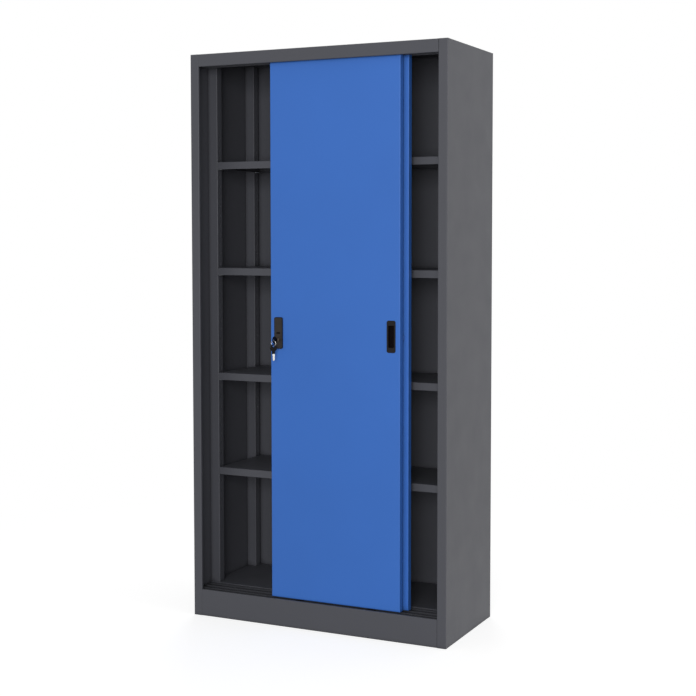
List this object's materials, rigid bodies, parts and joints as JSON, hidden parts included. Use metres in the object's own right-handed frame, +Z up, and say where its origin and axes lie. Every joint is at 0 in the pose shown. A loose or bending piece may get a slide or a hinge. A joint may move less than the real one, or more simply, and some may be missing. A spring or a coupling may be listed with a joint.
{
  "type": "sliding door cabinet",
  "caption": "Tall steel office cabinet with two sliding doors on a double rail, slotted uprights, adjustable shelves, flush finger pulls and a key lock.",
  "frame": {"origin": "on the floor at the middle of the carcass's footprint", "axes": "+X to the right seen from the front, +Y to the back, +Z up"},
  "size_m": [0.9, 0.4288, 1.85],
  "materials": {
    "anthracite_paint": "fine-textured powder coat, satin",
    "blue_paint": "fine-textured powder coat, satin",
    "black_plastic": "moulded, matt",
    "nickel_steel": "nickel plated",
    "zinc_steel": "zinc plated",
    "nylon": "natural nylon",
    "rubber": "matt"
  },
  "bodies": {
    "carcass": {"left_side": "anthracite_paint", "right_side": "anthracite_paint", "top_panel": "anthracite_paint", "back_panel": "anthracite_paint", "floor_pan": "anthracite_paint", "plinth": "anthracite_paint", "bottom_track": "anthracite_paint", "top_track": "anthracite_paint", "upright_front_left": "anthracite_paint", "upright_front_right": "anthracite_paint", "upright_rear_left": "anthracite_paint", "upright_rear_right": "anthracite_paint", "shelf_1": "anthracite_paint", "shelf_2": "anthracite_paint", "shelf_3": "anthracite_paint", "shelf_4": "anthracite_paint", "shelf_clips": "zinc_steel", "track_buffers": "rubber"},
    "front_door": {"front_door_panel": "blue_paint", "front_door_stiffener": "blue_paint", "front_door_pull": "black_plastic", "front_door_shoes": "black_plastic", "front_door_roller_brackets": "zinc_steel", "front_door_glides": "nylon", "lock_plate": "black_plastic", "lock_case": "nickel_steel"},
    "rear_door": {"rear_door_panel": "blue_paint", "rear_door_stiffener": "blue_paint", "rear_door_pull": "black_plastic", "rear_door_shoes": "black_plastic", "rear_door_roller_brackets": "zinc_steel", "rear_door_glides": "nylon", "lock_catch": "blue_paint"},
    "lock": {"lock_plug": "nickel_steel", "lock_cam": "zinc_steel", "cam_screw": "zinc_steel"},
    "key": {"key_blade": "nickel_steel", "key_bow": "black_plastic", "key_ring": "nickel_steel"},
    "spare_key": {"spare_key_blade": "nickel_steel", "spare_key_bow": "black_plastic"},
    "front_door_left_wheel": {"front_door_left_roller": "nylon"},
    "front_door_right_wheel": {"front_door_right_roller": "nylon"},
    "rear_door_left_wheel": {"rear_door_left_roller": "nylon"},
    "rear_door_right_wheel": {"rear_door_right_roller": "nylon"}
  },
  "joints": [
    {"name": "front_door_slide", "type": "slide", "parent": "carcass", "child": "front_door", "axis": [1, 0, 0], "range_m": [-0.271, 0.146]},
    {"name": "rear_door_slide", "type": "slide", "parent": "carcass", "child": "rear_door", "axis": [1, 0, 0], "range_m": [-0.287, 0.13]},
    {"name": "front_left_roller_spin", "type": "hinge", "parent": "front_door", "child": "front_door_left_wheel", "pos_m": [-0.109, -0.172, 0.0973], "axis": [0, 1, 0], "continuous": true},
    {"name": "front_right_roller_spin", "type": "hinge", "parent": "front_door", "child": "front_door_right_wheel", "pos_m": [0.234, -0.172, 0.0973], "axis": [0, 1, 0], "continuous": true},
    {"name": "rear_left_roller_spin", "type": "hinge", "parent": "rear_door", "child": "rear_door_left_wheel", "pos_m": [-0.093, -0.143, 0.0973], "axis": [0, 1, 0], "continuous": true},
    {"name": "rear_right_roller_spin", "type": "hinge", "parent": "rear_door", "child": "rear_door_right_wheel", "pos_m": [0.25, -0.143, 0.0973], "axis": [0, 1, 0], "continuous": true},
    {"name": "lock_turn", "type": "hinge", "parent": "front_door", "child": "lock", "pos_m": [-0.135, -0.183, 0.929], "axis": [0, -1, 0], "range_deg": [0, 90]},
    {"name": "key_withdrawal", "type": "slide", "parent": "lock", "child": "key", "axis": [0, -1, 0], "range_m": [0, 0.016]},
    {"name": "spare_key_swing", "type": "hinge", "parent": "key", "child": "spare_key", "pos_m": [-0.135, -0.219, 0.9105], "axis": [1, 0, 0], "range_deg": [-25, 25]}
  ],
  "couplings": [
    {"joint": "front_left_roller_spin", "follows": "front_door_slide", "rad_per_m": 111.11},
    {"joint": "front_right_roller_spin", "follows": "front_door_slide", "rad_per_m": 111.11},
    {"joint": "rear_left_roller_spin", "follows": "rear_door_slide", "rad_per_m": 111.11},
    {"joint": "rear_right_roller_spin", "follows": "rear_door_slide", "rad_per_m": 111.11}
  ]
}
